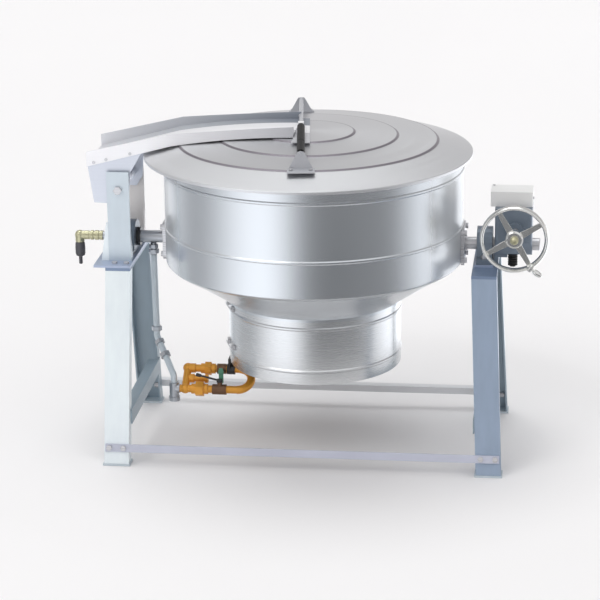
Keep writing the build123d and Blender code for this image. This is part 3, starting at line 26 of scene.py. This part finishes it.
# ------------------------------------------------------------------ material tools
NOISE_LOW, NOISE_HIGH = 0.3, 0.7   # the part of a noise's range that carries its pattern
BRUSH_UPRIGHT = 900.0              # brush lines per metre round the kettle's axis
BRUSH_FINE = 700.0                 # brush lines per metre on the other pieces
BRUSH_SIDE = 500.0                 # and on their other faces
BRUSH_DRIFT = 2.0                  # changes per metre along a brush line
LINE_SHARE = 0.55                  # part of the brush lines in the colour, the rest is cloud
COAT_ROUGH = 0.2
EDGE_SAMPLES = 4                   # rays that round an edge in the shading


class Look:
    """One procedural material, built up node by node."""

    def __init__(self, name, base, rough, metallic=0.0, coat=0.0, specular=0.5):
        self.mat = bpy.data.materials.new(name)
        self.mat.use_nodes = True
        self.tree = self.mat.node_tree
        self.tree.nodes.clear()
        self.out = self.node("ShaderNodeOutputMaterial")
        self.shader = self.node("ShaderNodeBsdfPrincipled")
        self.link(self.shader.outputs["BSDF"], self.out.inputs["Surface"])
        self.set("Base Color", (*base, 1))
        self.set("Metallic", metallic)
        self.set("Roughness", rough)
        self.set("Coat Weight", coat)
        self.set("Coat Roughness", COAT_ROUGH)
        self.set("Specular IOR Level", specular)
        self.coords = self.node("ShaderNodeTexCoord").outputs["Object"]
        self.normal = None
        self.colour = None

    def node(self, kind, **values):
        made = self.tree.nodes.new(kind)
        for key, value in values.items():
            setattr(made, key, value)
        return made

    def link(self, a, b):
        self.tree.links.new(a, b)

    def set(self, socket, value):
        self.shader.inputs[socket].default_value = value

    def math(self, operation, a, b=None):
        made = self.node("ShaderNodeMath", operation=operation)
        for i, value in enumerate((a, b)):
            if value is None:
                continue
            if isinstance(value, (int, float)):
                made.inputs[i].default_value = value
            else:
                self.link(value, made.inputs[i])
        return made.outputs[0]

    def blend(self, a, b, share):
        """Sum of two patterns, the second with this share."""
        return self.math("ADD", self.math("MULTIPLY", a, 1 - share), self.math("MULTIPLY", b, share))

    def noise(self, scale, detail=3.0, vector=None):
        made = self.node("ShaderNodeTexNoise")
        made.inputs["Scale"].default_value = scale
        made.inputs["Detail"].default_value = detail
        made.inputs["Roughness"].default_value = 0.5
        self.link(vector or self.coords, made.inputs["Vector"])
        return made.outputs["Fac"]

    def stretched(self, scale):
        made = self.node("ShaderNodeMapping")
        made.inputs["Scale"].default_value = scale
        self.link(self.coords, made.inputs["Vector"])
        return made.outputs["Vector"]

    def ranged(self, value, low, high, out_low, out_high):
        made = self.node("ShaderNodeMapRange")
        for i, v in ((1, low), (2, high), (3, out_low), (4, out_high)):
            made.inputs[i].default_value = v
        self.link(value, made.inputs[0])
        return made.outputs[0]

    def mottle(self, pattern, dark, light):
        """Vary the base colour between two shades by a noise pattern."""
        made = self.node("ShaderNodeMix", data_type="RGBA")
        made.inputs["A"].default_value = (*dark, 1)
        made.inputs["B"].default_value = (*light, 1)
        self.link(self.ranged(pattern, NOISE_LOW, NOISE_HIGH, 0.0, 1.0), made.inputs["Factor"])
        self.link(made.outputs["Result"], self.shader.inputs["Base Color"])
        self.colour = made.outputs["Result"]

    def vary_rough(self, pattern, low, high):
        """Vary the roughness between two values by a noise pattern."""
        self.link(self.ranged(pattern, NOISE_LOW, NOISE_HIGH, low, high), self.shader.inputs["Roughness"])

    def overlay(self, factor, colour):
        """Lay a colour over the base colour that is there, by a factor."""
        made = self.node("ShaderNodeMix", data_type="RGBA")
        made.inputs["B"].default_value = (*colour, 1)
        self.link(self.colour, made.inputs["A"])
        self.link(factor, made.inputs["Factor"])
        self.link(made.outputs["Result"], self.shader.inputs["Base Color"])
        self.colour = made.outputs["Result"]

    def axes(self):
        """Object coordinates, one socket for each axis."""
        made = self.node("ShaderNodeSeparateXYZ")
        self.link(self.coords, made.inputs[0])
        return made.outputs

    def bump(self, height, strength, distance):
        made = self.node("ShaderNodeBump")
        made.inputs["Strength"].default_value = strength
        made.inputs["Distance"].default_value = distance
        self.link(height, made.inputs["Height"])
        if self.normal is not None:
            self.link(self.normal, made.inputs["Normal"])
        self.normal = made.outputs["Normal"]
        self.link(self.normal, self.shader.inputs["Normal"])

    def soften(self, radius):
        """Round the edges in the shading."""
        made = self.node("ShaderNodeBevel")
        made.samples = EDGE_SAMPLES
        made.inputs["Radius"].default_value = radius
        self.normal = made.outputs["Normal"]
        self.link(self.normal, self.shader.inputs["Normal"])


def scaled(colour, k):
    return tuple(min(1.0, c * k) for c in colour)


# Painted shade in the lid's joggles, where the steel is drawn dark: radius of each, half width, and the shade
JOGGLE_RADII = (0.4145, 0.2865, 0.1485)
JOGGLE_HALF = 0.0042
JOGGLE_SHADE = (0.30, 0.28, 0.31)


def paint_joggle_shade(look, radius):
    # Painted shade: a dark band laid over the lid's colour at each joggle.
    for middle in JOGGLE_RADII:
        away = look.math("ABSOLUTE", look.math("SUBTRACT", radius, middle))
        look.overlay(look.ranged(away, JOGGLE_HALF * 0.6, JOGGLE_HALF * 1.3, 1.0, 0.0), JOGGLE_SHADE)


def brushed(name, base, rough, pattern="upright", spread=0.08, aniso=0.0, metallic=1.0, edge=0.0,
            lines_high=0.05, lines_rough=0.18):
    """Steel with brush lines: round the upright axis, in rings on the lid, or along one direction."""
    look = Look(name, base, rough, metallic=metallic)
    if edge:
        look.soften(edge)
    x, y, z = look.axes()
    radius = None
    if pattern == "upright":
        line = look.math("MULTIPLY", z, BRUSH_UPRIGHT)
    elif pattern == "rings":
        dx = look.math("SUBTRACT", x, LID_X)
        squares = look.math("ADD", look.math("MULTIPLY", dx, dx), look.math("MULTIPLY", y, y))
        radius = look.math("SQRT", squares)
        line = look.math("MULTIPLY", radius, BRUSH_FINE)
    else:
        across, side = (y, z) if pattern == "along_x" else (x, y)
        fine = look.math("MULTIPLY", across, BRUSH_FINE)
        line = look.math("ADD", fine, look.math("MULTIPLY", side, BRUSH_SIDE))
    vector = look.node("ShaderNodeCombineXYZ")
    look.link(line, vector.inputs[0])
    look.link(look.math("MULTIPLY", x, BRUSH_DRIFT), vector.inputs[1])
    look.link(look.math("MULTIPLY", y, BRUSH_DRIFT), vector.inputs[2])
    lines = look.noise(1.0, 2.0, vector.outputs[0])
    cloud = look.noise(3.0, 2.0)
    look.mottle(look.blend(cloud, lines, LINE_SHARE), scaled(base, 1 - spread), scaled(base, 1 + spread))
    # The lid's rings get the painted shade of its joggles.
    if radius is not None:
        paint_joggle_shade(look, radius)
    look.vary_rough(lines, rough * (1 - lines_rough), rough * (1 + lines_rough))
    look.bump(lines, lines_high, 0.0004)
    if aniso:
        look.set("Anisotropic", aniso)
        tangent = look.node("ShaderNodeTangent", direction_type="RADIAL", axis="Z")
        look.link(tangent.outputs[0], look.shader.inputs["Tangent"])
    return look


def painted(name, base, rough, metallic=0.0, edge=0.0012, streak=0.0):
    """Brushed or sprayed paint on steel, a little uneven, with softened edges."""
    look = Look(name, base, rough, metallic=metallic, coat=0.15)
    look.soften(edge)
    cloud = look.noise(5.0, 4.0)
    fine = look.noise(260.0, 2.0)
    if streak:
        cloud = look.blend(cloud, look.noise(9.0, 3.0, look.stretched((6.0, 6.0, 0.6))), streak)
    look.mottle(cloud, scaled(base, 0.94), scaled(base, 1.06))
    look.vary_rough(fine, rough * 0.85, rough * 1.15)
    look.bump(fine, 0.08, 0.0003)
    return look


def cast(name, base, rough, metallic=0.6, grain=140.0, strength=0.25):
    """Cast or ribbed surface with a fine grain."""
    look = Look(name, base, rough, metallic=metallic)
    look.soften(0.001)
    grainy = look.noise(grain)
    look.mottle(look.noise(8.0), scaled(base, 0.88), scaled(base, 1.1))
    look.vary_rough(grainy, rough * 0.85, rough * 1.15)
    look.bump(grainy, strength, 0.0005)
    return look


# ------------------------------------------------------------------ materials
casing = brushed("casing_steel", (0.66, 0.685, 0.71), 0.25, "upright", 0.01, aniso=0.5,
                 lines_high=0.006, lines_rough=0.04)
skirt = brushed("skirt_steel", (0.68, 0.69, 0.70), 0.27, "upright", 0.008, aniso=0.5,
                lines_high=0.003, lines_rough=0.03)
lid = brushed("lid_steel", (0.70, 0.705, 0.72), 0.42, "rings", 0.03, aniso=0.3)
rim = brushed("pan_steel", (0.80, 0.80, 0.80), 0.30, "upright", 0.04)
jacket = brushed("jacket_steel", (0.42, 0.42, 0.42), 0.45, "upright", 0.10)
arm = brushed("arm_steel", (0.93, 0.93, 0.95), 0.42, "along_x", 0.03, metallic=0.4, edge=0.001)
hanger = brushed("hanger_steel", (0.66, 0.69, 0.76), 0.40, "along_x", 0.05, metallic=0.7, edge=0.001)
fitting = brushed("fitting_steel", (0.46, 0.48, 0.51), 0.34, "along_x", 0.08, edge=0.001)
bright = brushed("bright_steel", (0.60, 0.60, 0.62), 0.30, "along_x", 0.06, metallic=0.7, edge=0.001)
bail = brushed("bail_steel", (0.50, 0.51, 0.54), 0.40, "along_y", 0.05, metallic=0.3, edge=0.001)
# Painted light: the frame is one paint. It is drawn as a pale lit copy on the left legs and gussets, and as
# darker shaded copies on the right and rear legs and the stretchers.
lit_frame_paint = painted("left_frame_paint_lit", (0.86, 0.93, 0.97), 0.38, 0.25, streak=0.3)
shaded_rear_paint = painted("rear_frame_paint_shaded", (0.34, 0.42, 0.48), 0.42, 0.25, streak=0.4)
rear_bar_paint = painted("rear_bar_paint", (0.78, 0.79, 0.81), 0.42, 0.2)
shaded_right_paint = painted("right_frame_paint_shaded", (0.32, 0.40, 0.52), 0.38, 0.30, streak=0.5)
post_paint = painted("post_paint", (0.58, 0.65, 0.70), 0.40, 0.25, streak=0.3)
plate_paint = painted("plate_paint", (0.20, 0.27, 0.40), 0.40, 0.25)
bar_paint = painted("bar_paint", (0.56, 0.58, 0.68), 0.40, 0.3)
gear_paint = painted("gear_paint", (0.17, 0.21, 0.26), 0.40, 0.3, edge=0.002)
guard_paint = painted("guard_paint", (0.86, 0.86, 0.85), 0.42, 0.1)
black_paint = painted("black_metal", (0.02, 0.02, 0.022), 0.42)
cock_paint = cast("cock_metal", (0.16, 0.085, 0.045), 0.42, 0.5)
green_paint = painted("green_metal", (0.10, 0.30, 0.20), 0.40)
iron = cast("cast_iron", (0.10, 0.10, 0.10), 0.6, 0.7, strength=0.5)
brass = cast("brass", (0.50, 0.48, 0.32), 0.32, 0.9, strength=0.08)
pipe = cast("pipe_brass", (0.74, 0.34, 0.045), 0.38, 0.35, grain=90.0, strength=0.12)
rubber = cast("black_rubber", (0.018, 0.018, 0.018), 0.62, 0.0, strength=0.15)
hose = cast("hose_metal", (0.09, 0.09, 0.10), 0.45, 0.4)
grip = cast("black_plastic", (0.010, 0.010, 0.011), 0.5, 0.0, grain=400.0, strength=0.1)
grip.set("Specular IOR Level", 0.12)
wheel_metal = brushed("wheel_metal", (0.74, 0.74, 0.72), 0.20, "along_y", 0.04, edge=0.002)
# The lid posts' paint, which carries the painted light of the far post.
lid_post_paint = painted("lid_post_paint", (0.64, 0.72, 0.78), 0.40, 0.25, streak=0.3)
bearing_paint = painted("bearing_plate_paint", (0.40, 0.47, 0.62), 0.40, 0.25)


def paint_arm_shade(look):
    """Painted shade: the arm's far wall turns dark blue grey toward its right end, the near wall only a
    little.
    """
    wall_y = 0.05
    left_end, right_end, middle = -0.75, -0.05, -0.45
    x, y, _ = look.axes()
    far = look.math("GREATER_THAN", y, wall_y)
    far_wall_shade = look.ranged(x, left_end, right_end, 0.25, 0.85)
    look.overlay(look.math("MULTIPLY", far_wall_shade, far), (0.17, 0.20, 0.25))
    near = look.math("LESS_THAN", y, -wall_y)
    near_wall_shade = look.ranged(x, middle, right_end, 0.0, 0.55)
    look.overlay(look.math("MULTIPLY", near_wall_shade, near), (0.42, 0.43, 0.47))


def paint_far_post_light(look):
    """Painted light: the far post, which stands behind and mirrors the kettle, is drawn a paler beige than
    the near one.
    """
    look.overlay(look.math("GREATER_THAN", look.axes()[1], 0.0), (0.84, 0.81, 0.79))


def dull_sides(look):
    """The casing's two sides are matt, so that the frames don't mirror in them as dark blots."""
    bright_to, dull_from = 0.36, 0.45
    side = look.math("ABSOLUTE", look.math("SUBTRACT", look.axes()[0], KX))
    look.link(look.ranged(side, bright_to, dull_from, 1.0, 0.30), look.shader.inputs["Metallic"])


# Painted shade on the arm's walls.
paint_arm_shade(arm)
dull_sides(casing)
# Painted light on the far post.
paint_far_post_light(lid_post_paint)

LOOKS = {
    "inner_pan": rim, "steam_jacket": jacket, "outer_casing": casing, "burner_skirt": skirt,
    "skirt_front_panel": skirt, "skirt_latches": bright, "burner_ring": iron, "trunnion_saddles": bright,
    "left_trunnion": fitting, "right_trunnion": bright, "trunnion_bolts": bright, "worm_wheel": iron,
    "shaft_collar": black_paint, "supply_pipe": post_paint, "pipe_fittings": fitting, "gas_header": pipe,
    "gas_runs": pipe, "gas_return_bend": pipe, "gas_cocks": cock_paint, "train_bracket": black_paint,
    "main_cock_lever": black_paint, "pilot_cock_lever": green_paint, "left_front_leg": lit_frame_paint,
    "left_rear_leg": shaded_rear_paint, "right_front_leg": shaded_right_paint, "right_rear_leg": shaded_rear_paint,
    "foot_plates": post_paint, "top_plates": plate_paint, "leg_stretchers": shaded_rear_paint,
    "front_crossbar": bar_paint, "rear_crossbar": rear_bar_paint, "frame_bolts": bright,
    "bearing_plates": bearing_paint, "lid_posts": lid_post_paint, "post_gussets": lit_frame_paint,
    "left_bearing_housing": gear_paint, "right_bearing_housing": gear_paint, "shaft_bushes": brass,
    "pivot_bolt": bright, "union_body": brass, "union_elbow": brass, "hose_tail": hose,
    "gearbox_housing": gear_paint, "gear_guard": guard_paint, "guard_screws": bright,
    "gearbox_boot": rubber, "lid_panel": lid, "lid_seat_ring": rim, "bail_brackets": bail,
    "bail_bar": bail, "bail_grip": grip, "bail_screws": bright, "lid_arm": arm, "arm_hanger": hanger,
    "arm_screws": bright, "lid_tongue": arm, "worm_shaft": bright, "handwheel": wheel_metal,
    "wheel_nut": brass, "crank_handle": wheel_metal,
}
for name, look in LOOKS.items():
    node = nodes[name]
    node.data.materials.clear()
    node.data.materials.append(look.mat)


# ------------------------------------------------------------------ floor and reflections
FLOOR_HALF = 40.0
FLOOR_DROP = 0.0005                # below the feet, so that no two faces share a plane
RING_INNER, RING_OUTER = 1.15, 9.0
RING_HEIGHT = 0.001
RING_STEPS = 96
RING_TINT = (0.97, 0.99, 1.03)
RING_GLOW = 2.5                    # the ramp's colours end at 1, so the ring's strength carries the rest
# Strength of the ring round the kettle: angle from the front, light
RING_LIGHT = (
    (-180, 1.60), (-137, 1.60), (-104, 0.52), (-80, 0.46), (-62, 0.90), (-46, 1.35), (-26, 1.60), (-12, 1.05),
    (0, 0.22), (21, 0.23), (36, 0.27), (53, 0.30), (66, 0.32), (82, 0.95), (104, 1.55), (120, 1.90),
    (142, 2.20), (180, 1.60),
)


def link(obj):
    bpy.context.scene.collection.objects.link(obj)
    return obj


def flat_mesh(name, verts, faces, material):
    mesh = bpy.data.meshes.new(name)
    mesh.from_pydata(verts, [], faces)
    mesh.update()
    mesh.materials.append(material)
    return link(bpy.data.objects.new(name, mesh))


def make_floor():
    look = Look("floor_paint", (0.92, 0.905, 0.905), 0.85, specular=0.1)
    look.mottle(look.noise(0.4, 2.0), (0.915, 0.90, 0.90), (0.925, 0.91, 0.91))
    far = FLOOR_HALF
    corners = [(-far, -far, 0), (far, -far, 0), (far, far, 0), (-far, far, 0)]
    made = flat_mesh("floor", corners, [(0, 1, 2, 3)], look.mat)
    made.location.z = -FLOOR_DROP
    return made


def ring_material():
    """Light that changes round the ring."""
    made = bpy.data.materials.new("reflector_light")
    made.use_nodes = True
    tree = made.node_tree
    tree.nodes.clear()
    out = tree.nodes.new("ShaderNodeOutputMaterial")
    emit = tree.nodes.new("ShaderNodeEmission")
    emit.inputs["Strength"].default_value = RING_GLOW
    ramp = tree.nodes.new("ShaderNodeValToRGB")
    turn = tree.nodes.new("ShaderNodeTexGradient")
    turn.gradient_type = "RADIAL"
    place = tree.nodes.new("ShaderNodeMapping")
    place.inputs["Rotation"].default_value = (0, 0, math.radians(90))
    coords = tree.nodes.new("ShaderNodeTexCoord")
    tree.links.new(coords.outputs["Object"], place.inputs["Vector"])
    tree.links.new(place.outputs["Vector"], turn.inputs["Vector"])
    tree.links.new(turn.outputs["Fac"], ramp.inputs["Fac"])
    tree.links.new(ramp.outputs["Color"], emit.inputs["Color"])
    tree.links.new(emit.outputs["Emission"], out.inputs["Surface"])
    ramp.color_ramp.interpolation = "B_SPLINE"
    stops = ramp.color_ramp.elements
    while len(stops) > 1:
        stops.remove(stops[-1])
    for i, (angle, light) in enumerate(RING_LIGHT):
        at = (angle + 180) / 360
        stop = stops[0] if i == 0 else stops.new(at)
        stop.position = at
        shade = light / RING_GLOW
        stop.color = (*(shade * tint for tint in RING_TINT), 1)
    return made


def make_reflector():
    """Flat ring of studio light round the kettle, seen only in its reflections."""
    verts = []
    faces = []
    for i in range(RING_STEPS):
        a = 2 * math.pi * i / RING_STEPS
        for r in (RING_INNER, RING_OUTER):
            verts.append((KX + r * math.cos(a), r * math.sin(a), RING_HEIGHT))
        j = (i + 1) % RING_STEPS
        faces.append((2 * i, 2 * i + 1, 2 * j + 1, 2 * j))
    made = flat_mesh("reflector", verts, faces, ring_material())
    made.visible_camera = False
    made.visible_diffuse = False
    made.visible_transmission = False
    made.visible_shadow = False
    return made


make_floor()
make_reflector()


# ------------------------------------------------------------------ world and lamps
WORLD_STRENGTH = 0.66
# Colour by height (the sine of the elevation): what lights the kettle, and what is seen.  The camera, mirrors
# and glass see a pale horizon that joins the floor, and the lighting sky above it.
SKY_LIGHT = ((0.0, (0.66, 0.625, 0.625)), (0.75, (0.92, 0.92, 0.93)))
SKY_SEEN = ((0.0, (0.945, 0.930, 0.935)), (0.16, (0.945, 0.930, 0.935)), (0.30, (0.504, 0.490, 0.493)),
            (0.75, (0.607, 0.607, 0.614)))


def make_world():
    world = bpy.data.worlds.new("studio")
    bpy.context.scene.world = world
    world.use_nodes = True
    tree = world.node_tree
    split = tree.nodes.new("ShaderNodeSeparateXYZ")
    tree.links.new(tree.nodes.new("ShaderNodeTexCoord").outputs["Generated"], split.inputs[0])

    def sky(background, levels, strength):
        ramp = tree.nodes.new("ShaderNodeValToRGB")
        stops = ramp.color_ramp.elements
        for i, (level, colour) in enumerate(levels):
            stop = stops[i] if i < 2 else stops.new(level)
            stop.position = level
            stop.color = (*colour, 1)
        tree.links.new(split.outputs["Z"], ramp.inputs["Fac"])
        tree.links.new(ramp.outputs["Color"], background.inputs["Color"])
        background.inputs["Strength"].default_value = strength
        return background.outputs[0]

    def larger(a, b):
        made = tree.nodes.new("ShaderNodeMath")
        made.operation = "MAXIMUM"
        tree.links.new(a, made.inputs[0])
        tree.links.new(b, made.inputs[1])
        return made.outputs[0]

    rays = tree.nodes.new("ShaderNodeLightPath").outputs
    seen = larger(larger(rays["Is Camera Ray"], rays["Is Glossy Ray"]), rays["Is Transmission Ray"])
    mixed = tree.nodes.new("ShaderNodeMixShader")
    tree.links.new(seen, mixed.inputs[0])
    tree.links.new(sky(tree.nodes["Background"], SKY_LIGHT, WORLD_STRENGTH), mixed.inputs[1])
    tree.links.new(sky(tree.nodes.new("ShaderNodeBackground"), SKY_SEEN, 1.0), mixed.inputs[2])
    tree.links.new(mixed.outputs[0], tree.nodes["World Output"].inputs["Surface"])


def sun(name, azimuth, elevation, energy, angle, colour):
    """Sun from this azimuth (0 is the front, 90 the right) and height, in degrees."""
    data = bpy.data.lights.new(name, "SUN")
    data.energy = energy
    data.angle = math.radians(angle)
    data.color = colour
    lamp = link(bpy.data.objects.new(name, data))
    a, e = math.radians(azimuth), math.radians(elevation)
    back = Vector((math.sin(a) * math.cos(e), -math.cos(a) * math.cos(e), math.sin(e)))
    lamp.rotation_mode = "QUATERNION"
    lamp.rotation_quaternion = back.to_track_quat("Z", "Y")


make_world()
sun("top", -150, 77, 0.90, 40, (0.98, 1.0, 1.0))
sun("key", -42, 44, 0.55, 35, (1.0, 1.0, 0.99))
sun("fill", 35, 38, 0.30, 60, (0.96, 0.98, 1.0))


# ------------------------------------------------------------------ camera at the photo's place
EYE = Vector((KX + 0.8352, -7.2619, 2.7798))
PITCH, YAW, ROLL = math.radians(17.506), math.radians(6.944), math.radians(-0.7285)
PICTURE_PX = 600
FOCAL_PX = 2351.25
SENSOR_MM = 36.0
VIEW_END = 200                     # past the floor's far corners


def make_camera():
    forward = -Vector((math.sin(YAW) * math.cos(PITCH), -math.cos(YAW) * math.cos(PITCH), math.sin(PITCH)))
    level = forward.cross(Vector((0, 0, 1))).normalized()
    above = level.cross(forward)
    right = level * math.cos(ROLL) + above * math.sin(ROLL)
    up = above * math.cos(ROLL) - level * math.sin(ROLL)
    data = bpy.data.cameras.new("camera")
    data.sensor_width = SENSOR_MM
    data.lens = FOCAL_PX / PICTURE_PX * SENSOR_MM
    data.clip_end = VIEW_END
    made = link(bpy.data.objects.new("camera", data))
    made.matrix_world = Matrix((
        (right.x, up.x, -forward.x, EYE.x),
        (right.y, up.y, -forward.y, EYE.y),
        (right.z, up.z, -forward.z, EYE.z),
        (0, 0, 0, 1),
    ))
    return made


bpy.context.scene.camera = make_camera()
bpy.context.scene.view_settings.view_transform = "Standard"
